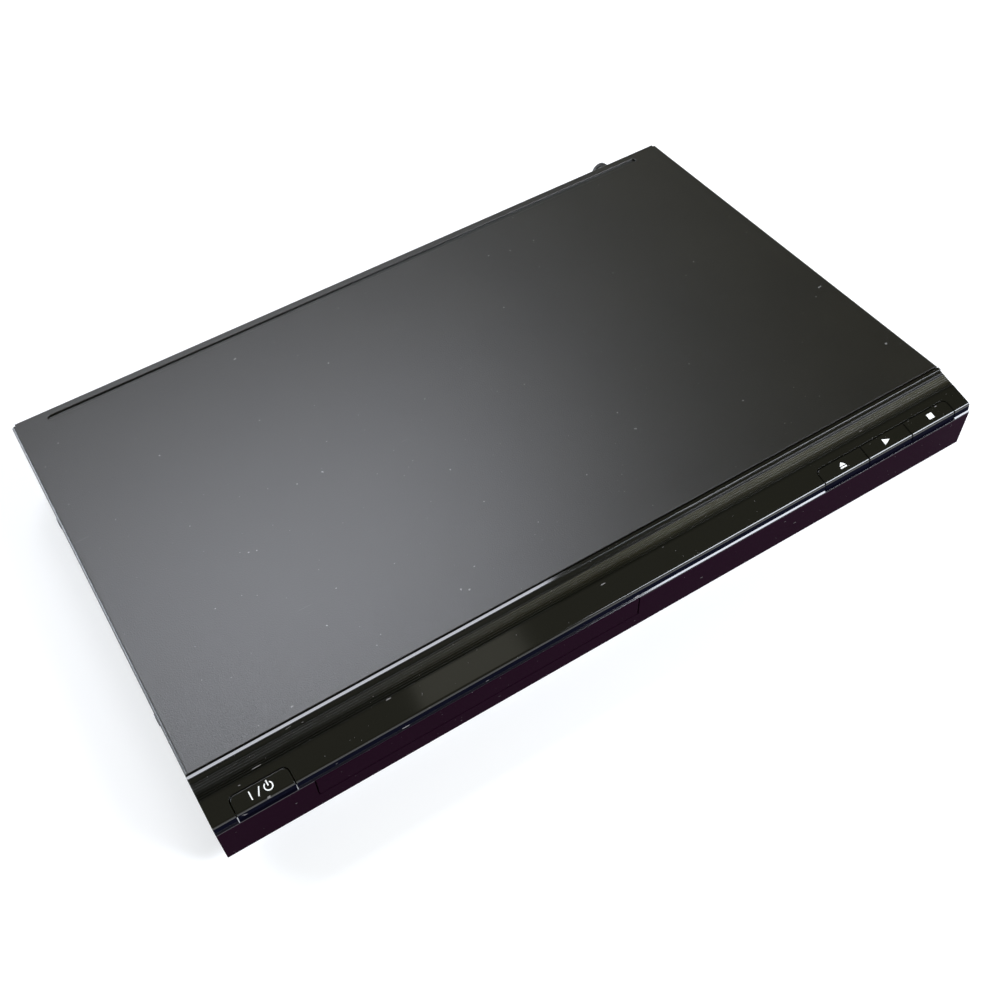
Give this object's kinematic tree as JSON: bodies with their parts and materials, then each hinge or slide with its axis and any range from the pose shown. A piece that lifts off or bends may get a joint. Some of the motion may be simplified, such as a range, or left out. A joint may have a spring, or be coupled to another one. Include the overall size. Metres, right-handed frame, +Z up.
{
  "type": "disc player",
  "caption": "Slim disc player: painted steel cover, gloss front panel with ribbed slope and press keys, motor-driven disc tray, lifting laser traverse, clamper and boards inside.",
  "frame": {"origin": "middle of the overall box, on the surface that the feet stand on", "axes": "+X to the viewer's right along the front, +Y from the front to the rear, +Z up"},
  "size_m": [0.3214, 0.219, 0.0385],
  "materials": {
    "cover_paint": "matte, fine grain",
    "rear_paint": "satin",
    "zinc_sheet": "dull zinc",
    "screw_steel": "black zinc",
    "rod_steel": "polished",
    "bezel_black": "gloss",
    "key_black": "gloss",
    "door_black": "gloss",
    "tray_plastic": "fine texture",
    "frame_plastic": "matte",
    "gear_plastic": "satin",
    "belt_rubber": "matte",
    "damper_rubber": "matte",
    "foot_rubber": "matte",
    "motor_can": "satin",
    "turntable_plastic": "satin",
    "pickup_body": "die cast",
    "guard_plastic": "matte",
    "lens_glass": "clear",
    "board_green": "satin",
    "board_tan": "satin",
    "chip_black": "matte",
    "switch_plastic": "matte",
    "can_sleeve": "sleeved",
    "sink_aluminium": "satin",
    "ferrite": "matte",
    "fuse_glass": "clear",
    "jack_plastic": "satin",
    "jack_metal": "nickel",
    "bushing_plastic": "satin",
    "lead_plastic": "matte"
  },
  "bodies": {
    "case": {"top_cover": "cover_paint", "rear_panel": "rear_paint", "bottom_chassis": "zinc_sheet", "clamp_bridge": "zinc_sheet", "cover_screws": "screw_steel", "panel_screws": "screw_steel", "board_screws": "screw_steel", "loader_screws": "screw_steel", "front_panel": "bezel_black", "loader_frame": "frame_plastic", "drive_belt": "belt_rubber", "feet": "foot_rubber", "loading_motor": "motor_can", "main_board": "board_green", "power_board": "board_tan", "power_key_board": "board_tan", "play_key_board": "board_tan", "board_chips": "chip_black", "remote_receiver": "chip_black", "key_switches": "switch_plastic", "board_capacitors": "can_sleeve", "mains_capacitor": "can_sleeve", "filter_capacitors": "can_sleeve", "heat_sink": "sink_aluminium", "power_heat_sink": "sink_aluminium", "transformer": "ferrite", "line_filter": "ferrite", "fuse": "fuse_glass", "av_jack_block": "jack_plastic", "jack_sleeves": "jack_metal", "cord_bushing": "bushing_plastic", "key_cable": "lead_plastic", "supply_cable": "lead_plastic"},
    "tray": {"disc_tray": "tray_plastic", "tray_door": "door_black"},
    "tray_gear": {"tray_gear": "gear_plastic"},
    "pulley_gear": {"pulley_gear": "gear_plastic"},
    "motor_pulley": {"motor_pulley": "gear_plastic"},
    "cam_slider": {"cam_slider": "frame_plastic"},
    "traverse": {"sub_chassis": "frame_plastic", "rubber_dampers": "damper_rubber", "damper_screws": "screw_steel", "optical_deck": "zinc_sheet", "spindle_motor": "motor_can", "guide_rods": "rod_steel", "sled_motor": "motor_can"},
    "turntable": {"turntable": "turntable_plastic", "turntable_pad": "belt_rubber", "spindle_shaft": "rod_steel"},
    "clamper": {"disc_clamper": "frame_plastic", "clamper_yoke": "zinc_sheet"},
    "sled": {"optical_pickup": "pickup_body", "lens_guard": "guard_plastic", "objective_lens": "lens_glass"},
    "sled_gear": {"sled_gear": "gear_plastic"},
    "sled_pinion": {"sled_pinion": "gear_plastic"},
    "power_key": {"power_key": "key_black"},
    "eject_key": {"eject_key": "key_black"},
    "play_key": {"play_key": "key_black"},
    "stop_key": {"stop_key": "key_black"}
  },
  "joints": [
    {"name": "tray_slide", "type": "slide", "parent": "case", "child": "tray", "axis": [0, -1, 0], "range_m": [0, 0.134]},
    {"name": "tray_gear_turn", "type": "hinge", "parent": "case", "child": "tray_gear", "pos_m": [-0.1038, -0.0755, 0.02], "axis": [0, 0, 1], "continuous": true},
    {"name": "pulley_gear_turn", "type": "hinge", "parent": "case", "child": "pulley_gear", "pos_m": [-0.0817, -0.0755, 0.02], "axis": [0, 0, 1], "continuous": true},
    {"name": "motor_pulley_turn", "type": "hinge", "parent": "case", "child": "motor_pulley", "pos_m": [-0.0468, -0.0775, 0.02], "axis": [0, 0, 1], "continuous": true},
    {"name": "traverse_lift", "type": "hinge", "parent": "case", "child": "traverse", "pos_m": [-0.0608, 0.0555, 0.0156], "axis": [-1, 0, 0], "range_deg": [0, 4.41]},
    {"name": "cam_slide", "type": "slide", "parent": "case", "child": "cam_slider", "axis": [1, 0, 0], "range_m": [0, 0.014]},
    {"name": "turntable_spin", "type": "hinge", "parent": "traverse", "child": "turntable", "pos_m": [-0.0608, -0.03595, 0.01797], "axis": [0, -0.0769, 0.997], "continuous": true},
    {"name": "clamper_spin", "type": "hinge", "parent": "case", "child": "clamper", "pos_m": [-0.0608, -0.0355, 0.03], "axis": [0, 0, 1], "continuous": true},
    {"name": "sled_slide", "type": "slide", "parent": "traverse", "child": "sled", "axis": [0, 0.997, 0.0769], "range_m": [0, 0.036]},
    {"name": "sled_gear_turn", "type": "hinge", "parent": "traverse", "child": "sled_gear", "pos_m": [-0.0247, 0.00232, 0.01591], "axis": [0, -0.0769, 0.997], "continuous": true},
    {"name": "sled_pinion_turn", "type": "hinge", "parent": "traverse", "child": "sled_pinion", "pos_m": [-0.0233, 0.0138, 0.0168], "axis": [0, -0.0769, 0.997], "continuous": true},
    {"name": "power_key_press", "type": "slide", "parent": "case", "child": "power_key", "axis": [0, 0, -1], "range_m": [0, 0.0005], "stiffness_N_per_m": 800, "springref_m": -0.001},
    {"name": "eject_key_press", "type": "slide", "parent": "case", "child": "eject_key", "axis": [0, 0, -1], "range_m": [0, 0.0005], "stiffness_N_per_m": 800, "springref_m": -0.001},
    {"name": "play_key_press", "type": "slide", "parent": "case", "child": "play_key", "axis": [0, 0, -1], "range_m": [0, 0.0005], "stiffness_N_per_m": 800, "springref_m": -0.001},
    {"name": "stop_key_press", "type": "slide", "parent": "case", "child": "stop_key", "axis": [0, 0, -1], "range_m": [0, 0.0005], "stiffness_N_per_m": 800, "springref_m": -0.001}
  ],
  "couplings": [
    {"joint": "tray_gear_turn", "follows": "tray_slide", "rad_per_m": 100},
    {"joint": "pulley_gear_turn", "follows": "tray_slide", "rad_per_m": -266.67},
    {"joint": "motor_pulley_turn", "follows": "tray_slide", "rad_per_m": -1044.4},
    {"joint": "cam_slide", "follows": "traverse_lift", "m_per_rad": 0.1818},
    {"joint": "clamper_spin", "follows": "turntable_spin", "ratio": 1},
    {"joint": "sled_gear_turn", "follows": "sled_slide", "rad_per_m": -250},
    {"joint": "sled_pinion_turn", "follows": "sled_slide", "rad_per_m": 900}
  ]
}
